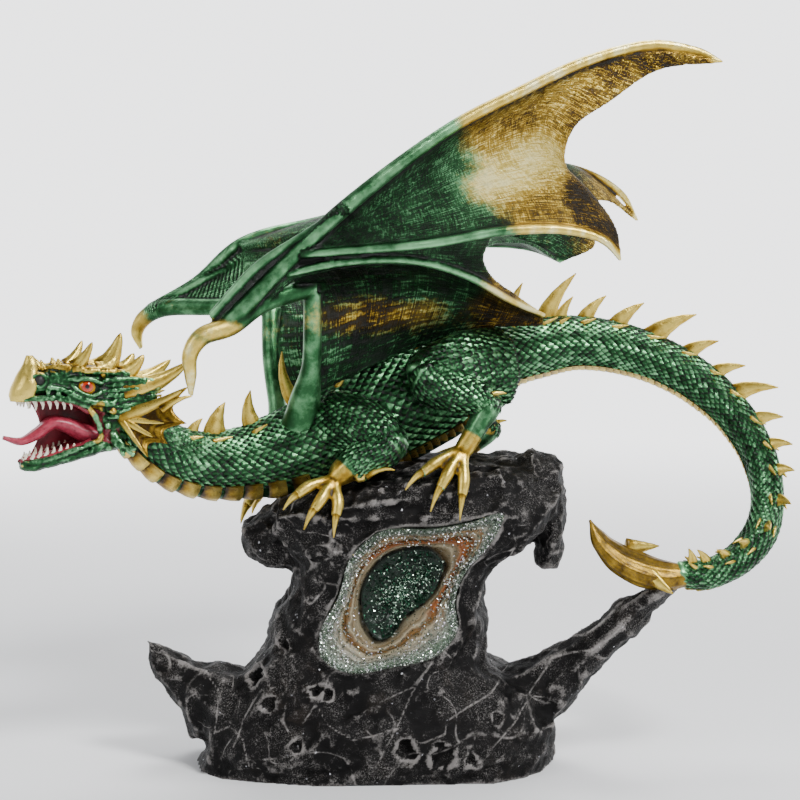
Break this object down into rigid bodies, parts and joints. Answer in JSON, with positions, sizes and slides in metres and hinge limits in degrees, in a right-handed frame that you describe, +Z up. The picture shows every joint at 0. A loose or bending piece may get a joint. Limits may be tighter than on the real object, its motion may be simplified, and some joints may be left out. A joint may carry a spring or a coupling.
{
  "type": "dragon statue",
  "caption": "Open-mouthed winged dragon in metallic green and gold, perched on a charcoal rock plinth with a glitter geode in its face.",
  "frame": {"origin": "middle of the flat underside of the rock plinth", "axes": "+X runs from the head to the tail loop, +Y points away from the side that shows the geode, +Z is up"},
  "size_m": [0.3794, 0.2257, 0.3563],
  "materials": {
    "rock_paint": "matt near-black paint, dry-brushed pale grey on ridges and cracks",
    "geode_glitter": "glossy poured resin in tan, rust and cream bands with silver glitter round a dark green glitter hollow",
    "dragon_paint": "satin metallic green over black wash, gold on thorns, belly plates and claws",
    "left_wing_paint": "satin metallic green fading to gold at the trailing lobes, dark wash in the grooves",
    "right_wing_paint": "satin metallic green fading to gold at the trailing lobes, dark wash in the grooves"
  },
  "bodies": {
    "root": {"rock_base": "rock_paint", "geode_inset": "geode_glitter", "dragon_body": "dragon_paint", "left_wing": "left_wing_paint", "right_wing": "right_wing_paint"}
  },
  "joints": []
}
